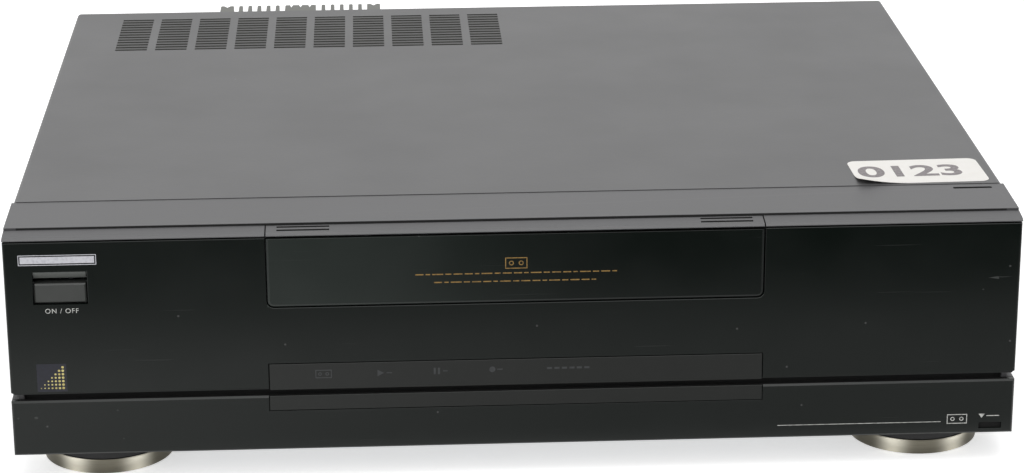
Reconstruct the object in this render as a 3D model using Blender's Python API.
"""Video cassette recorder, front loading, with a cassette lid and a drop-down control flap.

Metres, +Z up. The origin lies on the floor under the middle of the machine, and the front faces -Y.
Every depth below is measured rearwards from the front face.
"""
import math

import bmesh
import bpy
from mathutils import Matrix, Vector

# Clearances and modelling tolerances
GAP = 0.0003                    # between neighbours that touch on the real machine
OVERRUN = 0.002                 # how far a cutter runs past what it cuts
ROOTING = 0.0004                # how far a boss is rooted in what carries it
WELD = 0.000001
SAME_PLACE = 0.00003            # two coordinates closer than this count as equal

# Case
BODY_WIDTH = 0.430
FRONT_DEPTH = 0.042             # moulded front, front to back
COVER_INSET = 0.0006            # cover side, inboard of the moulded front's side
COVER_LENGTH = 0.3171
SHEET = 0.001                   # steel of the cover, tray and rear panel
FOLD_RADIUS = 0.0018            # outside of a folded corner
PANEL_RECESS = 0.0015           # rear panel, inside the cover's rear edge

# Heights of the front, from the floor up
FOOT_LIFT = 0.0126
FLAP_HEIGHT = 0.0248
GROOVE_HEIGHT = 0.0027          # shadow groove between flap and fascia
FASCIA_HEIGHT = 0.0684
STRIP_GAP = 0.0010              # dark line between fascia and top strip
STRIP_FALL = 0.0026             # slope of the top strip, down to its nose
MOULDING_DROP = 0.0007          # moulded top, below the steel cover's top

# Top moulding and its strip
STRIP_DEPTH = 0.0134
STRIP_GROOVE_WIDTH = 0.0008
STRIP_GROOVE_DEPTH = 0.0006
NOSE_LIP = 0.0003               # height of the strip's front edge
NOSE_UNDERCUT = 0.0012
FINGER_SLOT_LENGTH = 0.017
FINGER_SLOT_WIDTH = 0.0015
FINGER_SLOT_INSET = 0.006       # from the moulding's side
FINGER_SLOT_BACK = 0.0035       # from the moulding's rear edge
FINGER_SLOT_DEPTH = 0.0012
FRAME_WALL = 0.0025

# Fascia
FASCIA_THICKNESS = 0.0032
FASCIA_RETURN = 0.0025          # wall of the fascia's side returns
FASCIA_BEVEL = 0.0009
FASCIA_CORNER = 0.0012

# Cassette lid
LID_WIDTH = 0.2101
LID_HEIGHT = 0.0303
LID_SEAM = 0.0005
LID_TOP_SEAM = 0.0007
LID_THICKNESS = 0.0022
LID_BEVEL = 0.0010
LID_CORNER = 0.0025
LID_RIB_WIDTH = 0.0012
LID_RIB_HEIGHT = 0.0010
LID_RIB_SHARES = (0.08, 0.5)    # of the lid's height, up from its bottom edge
LID_ARM_WIDTH = 0.0040
LID_ARM_RADIUS = 0.0017
LID_ARM_TOP_SHARE = 0.7
LID_PIN_RADIUS = 0.0010
LID_PIN_LENGTH = 0.0040
LID_AXIS_DEPTH = 0.0034
LID_BOSS_WIDTH = 0.0042
LID_BOSS_BACK = 0.0022          # boss, behind the pin's axis
LID_BOSS_SKIN = 0.0011          # fascia left in front of the boss

# Strip insert above the lid
TRIM_SLOT_LENGTH = 0.0204
TRIM_SLOT_WIDTH = 0.0010
TRIM_SLOT_DEPTH = 0.0012
TRIM_SLOT_END = 0.0047          # from the insert's end
TRIM_SLOT_DEPTHS = (0.0047, 0.0094)

# Display
WINDOW_HEIGHT = 0.0120
WINDOW_LIP = 0.0012             # flange behind the fascia
WINDOW_LIP_THICKNESS = 0.0010
TUBE_WIDTH = 0.160
TUBE_THICKNESS = 0.0040
TUBE_BEVEL = 0.0003
BOARD_THICKNESS = 0.0016
DISPLAY_BOARD_HEIGHT = 0.022
PIN_ROW_GAP = 0.0010            # tube to its board, over which the pins run

# Power button
BUTTON_WIDTH = 0.0217
BUTTON_HEIGHT = 0.0085
BUTTON_GAP = 0.0006
BUTTON_CENTRE_INSET = 0.02325   # from the body's side
BUTTON_TOP_DROP = 0.0184        # below the fascia's top edge
BUTTON_FINGER_GAP = 0.0020      # dark gap above the button
SCOOP_HEIGHT = 0.0035
SCOOP_DEPTH = 0.0024
BUTTON_FACE_DEPTH = 0.0004
BUTTON_FLANGE = 0.0010
BUTTON_STEM_LENGTH = 0.0080
BUTTON_STEM_SIZE = 0.0040
BUTTON_BEVEL = 0.0006
BUTTON_TRAVEL = 0.0025

# Control flap
FLAP_THICKNESS = 0.0030
FLAP_AXIS_DEPTH = 0.0053
FLAP_AXIS_RISE = 0.0022         # above the flap's bottom edge
FLAP_EAR_WIDTH = 0.0034
FLAP_PIN_RADIUS = 0.0009
FLAP_BEVEL = 0.0008
FLAP_TRIM_WIDTH = 0.211
FLAP_TRIM_HEIGHT = 0.0066
FLAP_TRIM_THICKNESS = 0.0011
THUMB_WIDTH = 0.0098
THUMB_HEIGHT = 0.0028
THUMB_INSET = 0.0050            # from the flap's end
THUMB_RISE = 0.0022             # above the flap's bottom edge
THUMB_DEPTH = 0.0012
SWING_CLEARANCE = 0.0015

# Control panel and keys behind the flap
SHELF_DEPTH = 0.0060            # front of the bar behind the groove
SHELF_LENGTH = 0.0075
SHELF_LAP = 0.0030              # bar, below the flap's top edge
SHELF_RISE = 0.0008             # bar, above the fascia's bottom edge
RAIL_HEIGHT = 0.0025
PANEL_DEPTH = 0.0110
PANEL_THICKNESS = 0.0015
KEY_NAMES = ("eject", "rewind", "play", "fast_forward", "pause", "stop", "record", "channel")
KEY_WIDTH = 0.0140
KEY_HEIGHT = 0.0062
KEY_PITCH = 0.0300
KEY_GAP = 0.0004
KEY_FACE_DEPTH = 0.0052
KEY_FLANGE = 0.0010
KEY_STEM_SIZE = 0.0030
KEY_STEM_LENGTH = 0.0014
KEY_BEVEL = 0.0005
KEY_TRAVEL = 0.0010
KEY_BOARD_HEIGHT = 0.0170

# Feet
FOOT_RADIUS = 0.0283
FOOT_RING_HEIGHT = 0.0066
FOOT_RING_WALL = 0.0033
FOOT_BEVEL = 0.0006
FOOT_INSET = 0.0373             # from the body's side to the foot's centre
FOOT_FRONT_DEPTH = 0.0358
FOOT_REAR_INSET = 0.0480        # from the cover's rear edge
FOOT_NECK_INSET = 0.0004

# Steel cover's louvres
VENT_GROUPS = 10
VENT_ROWS = 13
VENT_INSET = 0.0254             # from the cover's left side to the first group
VENT_BACK = 0.0139              # from the cover's rear edge to the last row
VENT_GROUP_PITCH = 0.02007
VENT_ROW_PITCH = 0.0049
VENT_LENGTH = 0.0159
VENT_WIDTH = 0.0018
SKIRT_LIFT = 0.0010             # cover's lower edge, above the tray's underside

# Chassis tray
FLANGE_HEIGHT = 0.0120
TRAY_VENTS = 8
TRAY_VENT_LENGTH = 0.030
TRAY_VENT_WIDTH = 0.0030
TRAY_VENT_PITCH = 0.0090
STANDOFF_RADIUS = 0.0030
STANDOFF_HEIGHT = 0.0070
STANDOFF_INSET = 0.0060         # from a board's edges

# Heat sink on the rear panel
SINK_CENTRE_INSET = 0.11825     # from the body's left side
SINK_REACH = 0.0180             # fin tips, behind the cover's rear edge
SINK_BASE = 0.0030
SINK_DROP = 0.0035              # top, below the cover's top
SINK_HEIGHT = 0.0720
SINK_BLOCK = 0.0164
SINK_BLOCK_CUT = 0.0016
SINK_BLOCK_CUT_DEPTH = 0.0045
SINK_BLOCK_CUTS = 3
SINK_FINS = 5
FIN_PITCH = 0.0049
FIN_THICKNESS = 0.0020
FIN_ROUND = 0.0007
FIN_BLOCK_GAP = 0.00305         # from the middle block to the first fin's side
BOSS_GAP = 0.0028
SINK_BOSS = 0.0070
BOSS_CUT = 0.0034
BOSS_CUT_DEPTH = 0.0030

# Sockets on the rear panel
SCART_WIDTH = 0.0470
SCART_HEIGHT = 0.0160
SCART_SLANT = 0.0060
SCART_WALL = 0.0013
SCART_LENGTH = 0.0170
SCART_PROUD = 0.0035
SCART_CAVITY = 0.0120
SCART_GROOVE = 0.0022           # round the contact block
SCART_BLOCK_SINK = 0.0010       # contact block, inside the rim
SOCKET_ROW_INSET = 0.0200        # from the body's right side to the row's end
SOCKET_RISE = 0.0360            # socket row's centre, above the tray floor
JACK_BLOCK_WIDTH = 0.0300
JACK_BLOCK_HEIGHT = 0.0300
JACK_BLOCK_LENGTH = 0.0120
JACK_PITCH = 0.0140
JACK_RADIUS = 0.0042
JACK_BORE = 0.0016
JACK_PROUD = 0.0095
JACK_BORE_DEPTH = 0.0110
AERIAL_WIDTH = 0.0400
AERIAL_HEIGHT = 0.0200
AERIAL_LENGTH = 0.0180
AERIAL_PITCH = 0.0200
AERIAL_RADIUS = 0.0048
AERIAL_BORE = 0.0034
AERIAL_PROUD = 0.0110
AERIAL_CONTACT = 0.0012         # radius of the centre contact
AERIAL_CONTACT_SINK = 0.0012
AERIAL_SCREW_RISE = 0.0078      # screws, above and below the row
INLET_CENTRE_INSET = 0.0300     # from the body's left side
INLET_WIDTH = 0.0220
INLET_HEIGHT = 0.0130
INLET_LENGTH = 0.0160
INLET_PROUD = 0.0015
INLET_LIP = 0.0015
INLET_CAVITY = 0.0110
INLET_LOBE_PITCH = 0.0070
INLET_LOBE_RADIUS = 0.0042
INLET_PIN_PITCH = 0.0086
INLET_PIN_RADIUS = 0.0012
INLET_RISE = 0.0260

# Holes for the screws of the rear panel and the aerial unit
SCREW_RADIUS = 0.0013
SCREW_LENGTH = 0.0060
SCREW_RISE = 0.0070             # lower row, above the tray floor
SCREW_SHARES = (-0.93, -0.45, 0.05, 0.5, 0.93)  # of half the tray, from the middle

# Cassette and what carries it
CASSETTE_WIDTH = 0.188
CASSETTE_HEIGHT = 0.025
CASSETTE_DEPTH = 0.104
CASSETTE_PLAY = 0.0010
HOLDER_SHEET = 0.0012
HOLDER_LEDGE = 0.0120
HOLDER_FRONT_GAP = 0.0036       # holder, behind the open lid's reach
HOLDER_WINDOW_MARGIN = 0.0180
HOLDER_PIN_RADIUS = 0.0015
HOLDER_PIN_DROP = 0.0135        # pin's axis, below the holder's top
CARRIAGE_TRAVEL = 0.0400
HOLDER_DROP = 0.0280
SIDE_PLAY = 0.0005              # between holder, slider and bracket
SLIDER_SHEET = 0.0012
SLIDER_FOLD = 0.0015            # outside of its folded corners
SLIDER_LENGTH = 0.0600
SLIDER_SET_BACK = 0.0240        # slider's front, behind the holder's front
SLIDER_TOP_GAP = 0.0008
SLIDER_FOOT = 0.0050            # below the pin slot
LUG_RADIUS = 0.0015
LUG_INSET = 0.0080
LUG_DROP = 0.0060               # below the slider's top
BRACKET_SHEET = 0.0012
BRACKET_MARGIN = 0.0080
BRACKET_TOP_GAP = 0.0008

# Rack and pinion that drive the slider
GEAR_MODULE = 0.0007
GEAR_TEETH = 18
GEAR_PRESSURE_DEGREES = 20.0
GEAR_BACKLASH = 0.00012
DEDENDUM_SHARE = 1.25           # of the module
GEAR_SHAFT_RADIUS = 0.0016
GEAR_SHAFT_LENGTH = 0.0070
RACK_LEAD_TEETH = 2             # spare teeth past each end of the travel
RACK_MARGIN_SHARE = 0.33        # of the slider's length beyond its travel
RACK_LAP = 0.0020               # rack's body, rooted in the slider's plate
MOTOR_RADIUS = 0.0078
MOTOR_LENGTH = 0.0220
MOTOR_NOSE = 0.0030
MOTOR_NOSE_SHARE = 0.6          # of the motor's radius

# Deck and its moving pieces
DECK_CLEARANCE = 0.0014         # under the pinion
DECK_SHEET = 0.0015
DECK_SIDE = 0.0200              # deck, outboard of the brackets
DECK_FRONT_GAP = 0.0100         # deck's front edge, before the brackets
DECK_REAR_GAP = 0.0190          # deck's rear edge, behind the drum
DECK_LEG = 0.0100
DECK_HOLE_PLAY = 0.0010
REEL_PITCH = 0.0920
REEL_RADIUS = 0.0200
REEL_TABLE_HEIGHT = 0.0030
REEL_HUB_RADIUS = 0.0052
REEL_HUB_HEIGHT = 0.0170
REEL_CROWN_HEIGHT = 0.0013
REEL_CROWN_SHARE = 0.7          # of the hub's radius, at its very top
REEL_KEYS = 3
REEL_BORE_RADIUS = 0.0022
REEL_LIFT = 0.0010
REEL_KEY_WIDTH = 0.0016
REEL_KEY_REACH = 0.0016
SPINDLE_CROWN = 0.0030          # spindle's end, below the hub's top
DRUM_RADIUS = 0.0310
DRUM_BEHIND = 0.0150            # drum's side, behind the lowered holder
DRUM_LOWER_HEIGHT = 0.0160
DRUM_UPPER_HEIGHT = 0.0150
DRUM_LIFT = 0.0060
DRUM_BASE_RADIUS = 0.0270
DRUM_TILT_DEGREES = 5.6
DRUM_CAP_RADIUS = 0.0130
DRUM_CAP_HEIGHT = 0.0030
DRUM_EDGE = 0.0010              # bevel of the upper drum's rim
CAPSTAN_RADIUS = 0.0015
CAPSTAN_SIDE = 0.0620
CAPSTAN_BEHIND = 0.0090         # behind the lowered holder
CAPSTAN_HEIGHT = 0.0260         # above the deck
FLYWHEEL_RADIUS = 0.0180
FLYWHEEL_HEIGHT = 0.0055
FLYWHEEL_DROP = 0.0060          # below the deck's underside
STATOR_RADIUS = 0.0200
PINCH_RADIUS = 0.0080
PINCH_HEIGHT = 0.0140
PINCH_BORE = 0.0020
PINCH_LIFT = 0.0065
PINCH_PIVOT_SIDE = 0.0220       # pivot, outboard of the capstan
PINCH_PIVOT_BEHIND = 0.0060     # pivot, behind the closed roller
PINCH_SWING_DEGREES = 20.0
PINCH_ARM_THICKNESS = 0.0020
PINCH_ARM_RADIUS = 0.0050
PINCH_POST_RADIUS = 0.0022
PINCH_POST_HEIGHT = 0.0100
GUIDE_RADIUS = 0.0030
GUIDE_HEIGHT = 0.0240
GUIDE_SIDE = 0.0420
GUIDE_BEFORE = 0.0020           # guides, before the drum's middle
HEAD_SIDES = {"erase_head": -0.0550, "audio_head": 0.0450}
HEAD_BEFORE = 0.0190            # heads, before the drum's middle
HEAD_BASE_WIDTH = 0.0110
HEAD_BASE_DEPTH = 0.0090
HEAD_BASE_HEIGHT = 0.0040
HEAD_WIDTH = 0.0080
HEAD_THICKNESS = 0.0055
HEAD_HEIGHT = 0.0160
HEAD_ROUND = 0.0020

# Boards and modules
SIDE_BAY = 0.0060               # free strip between a bay's pieces and the case side
BAY_GAP = 0.0040                # between the deck and a side bay's pieces
MAIN_BOARD_LENGTH = 0.2300
POWER_BOARD_LENGTH = 0.1500
BOARD_REAR_GAP = 0.0220         # boards, before the rear panel
CAN_RADIUS = 0.0110
CAN_HEIGHT = 0.0260
CAN_PITCH = 0.0280
CHIP_SIZE = 0.0180
CHIP_HEIGHT = 0.0035
CHIP_PITCH = 0.0420
TRANSFORMER_WIDTH = 0.0520
TRANSFORMER_DEPTH = 0.0440
TRANSFORMER_HEIGHT = 0.0420
TRANSFORMER_STACK = 0.0180
WINDING_MARGIN = 0.0070
TRANSFORMER_FRONT = 0.0700
TUNER_WIDTH = 0.0600
TUNER_HEIGHT = 0.0200
TUNER_LENGTH = 0.0450
TUNER_BEVEL = 0.0010

# Facets of round shapes
ROUND_STEPS = 28
MEDIUM_STEPS = 20
SMALL_STEPS = 14
PIN_STEPS = 10
SCREW_STEPS = 8
CORNER_STEPS = 3
FLANK_STEPS = 2
SHARP_DEGREES = 32.0            # edges bent more than this stay sharp

# Levels and places that follow from the sizes
HALF_BODY = BODY_WIDTH / 2
COVER_BACK = FRONT_DEPTH + GAP + COVER_LENGTH
FRONT_Y = -(COVER_BACK + SINK_REACH) / 2
FLAP_BOTTOM = FOOT_LIFT
FLAP_TOP = FLAP_BOTTOM + FLAP_HEIGHT
FASCIA_BOTTOM = FLAP_TOP + GROOVE_HEIGHT
FASCIA_TOP = FASCIA_BOTTOM + FASCIA_HEIGHT
MOULDING_UNDER = FASCIA_TOP + GAP
NOSE_Z = FASCIA_TOP + STRIP_GAP
MOULDING_TOP = NOSE_Z + STRIP_FALL
COVER_TOP = MOULDING_TOP + MOULDING_DROP
FLOOR_TOP = FOOT_LIFT + SHEET
COVER_HALF = HALF_BODY - COVER_INSET
TRAY_HALF = COVER_HALF - SHEET - GAP
TRAY_FRONT = FLAP_AXIS_DEPTH + FLAP_AXIS_RISE + SWING_CLEARANCE
PANEL_BACK = COVER_BACK - PANEL_RECESS
PANEL_FRONT = PANEL_BACK - SHEET
CHEEK_OUTER = HALF_BODY - FASCIA_RETURN - GAP
CHEEK_INNER = CHEEK_OUTER - FRAME_WALL
RAIL_TOP = FLOOR_TOP + GAP + RAIL_HEIGHT
SHELF_BOTTOM = FLAP_TOP - SHELF_LAP
SHELF_TOP = FASCIA_BOTTOM + SHELF_RISE

LID_HALF = LID_WIDTH / 2
MOUTH_HALF = LID_HALF + LID_SEAM
LID_TOP = MOULDING_UNDER - LID_TOP_SEAM
LID_BOTTOM = LID_TOP - LID_HEIGHT
MOUTH_BOTTOM = LID_BOTTOM - LID_SEAM
LID_AXIS_Z = MOULDING_UNDER - LID_ARM_RADIUS - GAP
LID_REACH = LID_AXIS_DEPTH + LID_AXIS_Z - LID_BOTTOM

HOLDER_FRONT = LID_REACH + HOLDER_FRONT_GAP
HOLDER_BACK = HOLDER_FRONT + CASSETTE_DEPTH
HOLDER_INNER = CASSETTE_WIDTH / 2 + CASSETTE_PLAY
HOLDER_OUTER = HOLDER_INNER + HOLDER_SHEET
HOLDER_FLOOR = MOUTH_BOTTOM - GAP
HOLDER_ROOF = HOLDER_FLOOR + CASSETTE_HEIGHT + CASSETTE_PLAY
HOLDER_TOP = HOLDER_ROOF + HOLDER_SHEET
HOLDER_PIN_Z = HOLDER_TOP - HOLDER_PIN_DROP
SLIDER_INNER = HOLDER_OUTER + SIDE_PLAY
SLIDER_OUTER = SLIDER_INNER + SLIDER_SHEET
SLIDER_FRONT = HOLDER_FRONT + SLIDER_SET_BACK
SLIDER_BACK = SLIDER_FRONT + SLIDER_LENGTH
SLIDER_TOP = HOLDER_TOP + SLIDER_TOP_GAP + SLIDER_SHEET
SLIDER_BOTTOM = HOLDER_PIN_Z - HOLDER_DROP - HOLDER_PIN_RADIUS - SLIDER_FOOT
LUG_Z = SLIDER_TOP - LUG_DROP
BRACKET_INNER = SLIDER_OUTER + SIDE_PLAY
BRACKET_OUTER = BRACKET_INNER + BRACKET_SHEET
GEAR_RADIUS = GEAR_MODULE * GEAR_TEETH / 2
RACK_PITCH = math.pi * GEAR_MODULE
GEAR_Z = SLIDER_BOTTOM - GEAR_MODULE - GEAR_RADIUS
RACK_TEETH = int(CARRIAGE_TRAVEL / RACK_PITCH) + 1 + 2 * RACK_LEAD_TEETH
RACK_MARGIN = (SLIDER_LENGTH - CARRIAGE_TRAVEL) * RACK_MARGIN_SHARE
GEAR_DEPTH = SLIDER_BACK - RACK_MARGIN
DECK_TOP = GEAR_Z - GEAR_RADIUS - GEAR_MODULE - DECK_CLEARANCE
DECK_UNDER = DECK_TOP - DECK_SHEET
DECK_HALF = BRACKET_OUTER + DECK_SIDE
BRACKET_FRONT = SLIDER_FRONT - BRACKET_MARGIN
BRACKET_BACK = SLIDER_BACK + CARRIAGE_TRAVEL + BRACKET_MARGIN
PARKED_BACK = HOLDER_BACK + CARRIAGE_TRAVEL
REEL_DEPTH = HOLDER_FRONT + CARRIAGE_TRAVEL + CASSETTE_DEPTH / 2
DRUM_DEPTH = PARKED_BACK + DRUM_BEHIND + DRUM_RADIUS
DECK_FRONT = BRACKET_FRONT - DECK_FRONT_GAP
DECK_BACK = DRUM_DEPTH + DRUM_RADIUS + DECK_REAR_GAP
CAPSTAN_DEPTH = PARKED_BACK + CAPSTAN_BEHIND
BAY_INNER = DECK_HALF + BAY_GAP
BAY_OUTER = TRAY_HALF - SHEET - SIDE_BAY
BOARD_Z = FLOOR_TOP + STANDOFF_HEIGHT + GAP
BOARD_BACK = PANEL_FRONT - BOARD_REAR_GAP


def front(depth):
    """World Y of a depth measured rearwards from the front face."""
    return FRONT_Y + depth


# Outlines, as lists of points in two axes

def rectangle(u, v):
    return [(u[0], v[0]), (u[1], v[0]), (u[1], v[1]), (u[0], v[1])]


def arc(centre, radius, start, end, steps):
    """Points on an arc, angles in degrees, both ends included."""
    points = []
    for index in range(steps + 1):
        angle = math.radians(start + (end - start) * index / steps)
        points.append((centre[0] + radius * math.cos(angle), centre[1] + radius * math.sin(angle)))
    return points


def circle(centre, radius, steps):
    return arc(centre, radius, 0, 360, steps)[:-1]


def rounded(u, v, radius, low_only=False):
    """Rectangle with round corners, or with only its two lower corners round."""
    points = arc((u[0] + radius, v[0] + radius), radius, 180, 270, CORNER_STEPS)
    points += arc((u[1] - radius, v[0] + radius), radius, 270, 360, CORNER_STEPS)
    if low_only:
        return points + [(u[1], v[1]), (u[0], v[1])]
    points += arc((u[1] - radius, v[1] - radius), radius, 0, 90, CORNER_STEPS)
    points += arc((u[0] + radius, v[1] - radius), radius, 90, 180, CORNER_STEPS)
    return points


def stadium(u, v):
    """Slot outline with a half circle at each end; the longer side is found."""
    radius = min(u[1] - u[0], v[1] - v[0]) / 2
    middle_v = (v[0] + v[1]) / 2
    middle_u = (u[0] + u[1]) / 2
    if u[1] - u[0] > v[1] - v[0]:
        points = arc((u[1] - radius, middle_v), radius, -90, 90, CORNER_STEPS * 2)
        return points + arc((u[0] + radius, middle_v), radius, 90, 270, CORNER_STEPS * 2)
    points = arc((middle_u, v[1] - radius), radius, 0, 180, CORNER_STEPS * 2)
    return points + arc((middle_u, v[0] + radius), radius, 180, 360, CORNER_STEPS * 2)


def folded_channel(half, low, high, radius, sheet):
    """Sheet folded down at both sides, seen along its length."""
    inner = radius - sheet
    outer_path = [(half, low)] + arc((half - radius, high - radius), radius, 0, 90, CORNER_STEPS)
    outer_path += arc((-half + radius, high - radius), radius, 90, 180, CORNER_STEPS)
    outer_path += [(-half, low), (-half + sheet, low)]
    inner_path = arc((-half + radius, high - radius), inner, 180, 90, CORNER_STEPS)
    inner_path += arc((half - radius, high - radius), inner, 90, 0, CORNER_STEPS)
    return outer_path + inner_path + [(half - sheet, low)]


# Solids, as bmeshes in world coordinates

AXIS_ORDER = {"X": "YZX", "Y": "XZY", "Z": "XYZ"}


def point_on(axis, u, v, along):
    """Point from two coordinates across an axis and one along it."""
    place = dict(zip(AXIS_ORDER[axis], (u, v, along)))
    return Vector((place["X"], place["Y"], place["Z"]))


def prism(axis, outline, start, end):
    """Outline drawn across an axis and extruded along it."""
    bm = bmesh.new()
    ring = [bm.verts.new(point_on(axis, u, v, start)) for u, v in outline]
    face = bm.faces.new(ring)
    swept = bmesh.ops.extrude_face_region(bm, geom=[face])
    moved = [item for item in swept["geom"] if isinstance(item, bmesh.types.BMVert)]
    bmesh.ops.translate(bm, verts=moved, vec=point_on(axis, 0, 0, end - start))
    bmesh.ops.recalc_face_normals(bm, faces=bm.faces)
    return bm


def slab(x, y, z):
    return prism("Z", rectangle(x, y), z[0], z[1])


def rod(axis, centre, radius, start, end, steps=SMALL_STEPS):
    return prism(axis, circle(centre, radius, steps), start, end)


def turned(profile, steps, closed=False):
    """Profile of radius and height, spun about the Z axis."""
    bm = bmesh.new()
    verts = [bm.verts.new((radius, 0, height)) for radius, height in profile]
    edges = [bm.edges.new(pair) for pair in zip(verts, verts[1:])]
    if closed:
        edges.append(bm.edges.new((verts[-1], verts[0])))
    bmesh.ops.spin(bm, geom=verts + edges, cent=(0, 0, 0), axis=(0, 0, 1), dvec=(0, 0, 0),
                   angle=math.tau, steps=steps, use_merge=True, use_duplicate=False)
    bmesh.ops.remove_doubles(bm, verts=bm.verts, dist=WELD)
    bmesh.ops.recalc_face_normals(bm, faces=bm.faces)
    return bm


def shifted(bm, offset):
    bmesh.ops.translate(bm, verts=bm.verts, vec=Vector(offset))
    return bm


def joined(parts):
    """Several bmeshes, clear of each other, as one."""
    whole = bmesh.new()
    for part in parts:
        mesh = bpy.data.meshes.new("scrap")
        part.to_mesh(mesh)
        part.free()
        whole.from_mesh(mesh)
        bpy.data.meshes.remove(mesh)
    return whole


def bevelled(bm, chosen, width, segments=1):
    """The edges that the test picks get a bevel."""
    edges = [edge for edge in bm.edges if chosen(edge)]
    bmesh.ops.bevel(bm, geom=edges, offset=width, segments=segments, affect="EDGES")
    return bm


def edge_at(edge, axis_index, value):
    """Whether both ends of an edge lie at a value of one coordinate."""
    return all(abs(vert.co[axis_index] - value) < SAME_PLACE for vert in edge.verts)


# Materials and objects

def srgb(text):
    channels = [int(text[index:index + 2], 16) / 255 for index in (0, 2, 4)]
    linear = [c / 12.92 if c <= 0.04045 else ((c + 0.055) / 1.055) ** 2.4 for c in channels]
    return (*linear, 1.0)


def finish(name, colour, roughness, metallic=0.0):
    material = bpy.data.materials.new(name)
    material.use_nodes = True
    shader = material.node_tree.nodes["Principled BSDF"]
    shader.inputs["Base Color"].default_value = srgb(colour)
    shader.inputs["Roughness"].default_value = roughness
    shader.inputs["Metallic"].default_value = metallic
    material.diffuse_color = srgb(colour)
    return material


def solid(name, bm, look, origin=(0, 0, 0), tilt=None):
    """Object whose origin is moved to a place, with its shape left where it is."""
    colour, roughness, metallic = LOOKS[look]
    mesh = bpy.data.meshes.new(name)
    if tilt is None:
        bmesh.ops.translate(bm, verts=bm.verts, vec=-Vector(origin))
    bm.to_mesh(mesh)
    bm.free()
    mesh.shade_smooth()
    mesh.set_sharp_from_angle(angle=math.radians(SHARP_DEGREES))
    mesh.materials.append(finish(name, colour, roughness, metallic))
    item = bpy.data.objects.new(name, mesh)
    item.location = origin
    if tilt is not None:
        item.rotation_euler = tilt
    bpy.context.scene.collection.objects.link(item)
    return item


def helper(item, bm, operation):
    """Hidden shape that cuts an object or is united with it."""
    mesh = bpy.data.meshes.new(item.name + "_tool")
    bm.to_mesh(mesh)
    bm.free()
    tool = bpy.data.objects.new(item.name + "_tool", mesh)
    tool.hide_render = True
    tool.display_type = "WIRE"
    bpy.context.scene.collection.objects.link(tool)
    modifier = item.modifiers.new(operation.title(), "BOOLEAN")
    modifier.operation = operation
    modifier.solver = "EXACT"
    modifier.object = tool
    return item


def cut(item, bm):
    return helper(item, bm, "DIFFERENCE")


def fuse(item, bm):
    return helper(item, bm, "UNION")


LOOKS = {
    "satin_steel": ("3c3c3e", 0.42, 0.35),
    "zinc_steel": ("9da0a3", 0.35, 0.9),
    "front_plastic": ("2e2e30", 0.45, 0.0),
    "gloss_black": ("0b0c0c", 0.12, 0.0),
    "smoked": ("15161a", 0.06, 0.0),
    "black_plastic": ("121213", 0.45, 0.0),
    "key_plastic": ("2b2c2e", 0.4, 0.0),
    "champagne": ("c9c3ad", 0.28, 1.0),
    "raw_aluminium": ("8f918d", 0.45, 1.0),
    "board_green": ("2c5a3c", 0.5, 0.0),
    "glass": ("24303a", 0.05, 0.0),
    "white_plastic": ("c9c7bf", 0.4, 0.0),
    "polished": ("c4c6c8", 0.15, 1.0),
    "rubber": ("101010", 0.8, 0.0),
}


# Case

def make_top_cover():
    """Folded steel cover with rows of louvre slots at the rear left."""
    outline = folded_channel(COVER_HALF, FOOT_LIFT + SKIRT_LIFT, COVER_TOP, FOLD_RADIUS, SHEET)
    cover = solid("top_cover", prism("Y", outline, front(FRONT_DEPTH + GAP), front(COVER_BACK)),
                  "satin_steel")
    slots = []
    for group in range(VENT_GROUPS):
        left = -COVER_HALF + VENT_INSET + group * VENT_GROUP_PITCH
        for row in range(VENT_ROWS):
            back = front(COVER_BACK - VENT_BACK - row * VENT_ROW_PITCH)
            slots.append(slab((left, left + VENT_LENGTH), (back - VENT_WIDTH, back),
                              (COVER_TOP - SHEET - OVERRUN, COVER_TOP + OVERRUN)))
    return cut(cover, joined(slots))


def board_posts(x, y):
    """Stand-offs under the four corners of a board."""
    posts = []
    for post_x in (x[0] + STANDOFF_INSET, x[1] - STANDOFF_INSET):
        for post_y in (y[0] + STANDOFF_INSET, y[1] - STANDOFF_INSET):
            posts.append(rod("Z", (post_x, post_y), STANDOFF_RADIUS, FLOOR_TOP - ROOTING,
                             FLOOR_TOP + STANDOFF_HEIGHT, PIN_STEPS))
    return posts


def main_board_plan():
    return (BAY_INNER, BAY_OUTER), (front(BOARD_BACK - MAIN_BOARD_LENGTH), front(BOARD_BACK))


def power_board_plan():
    return (-BAY_OUTER, -BAY_INNER), (front(BOARD_BACK - POWER_BOARD_LENGTH), front(BOARD_BACK))


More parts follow.
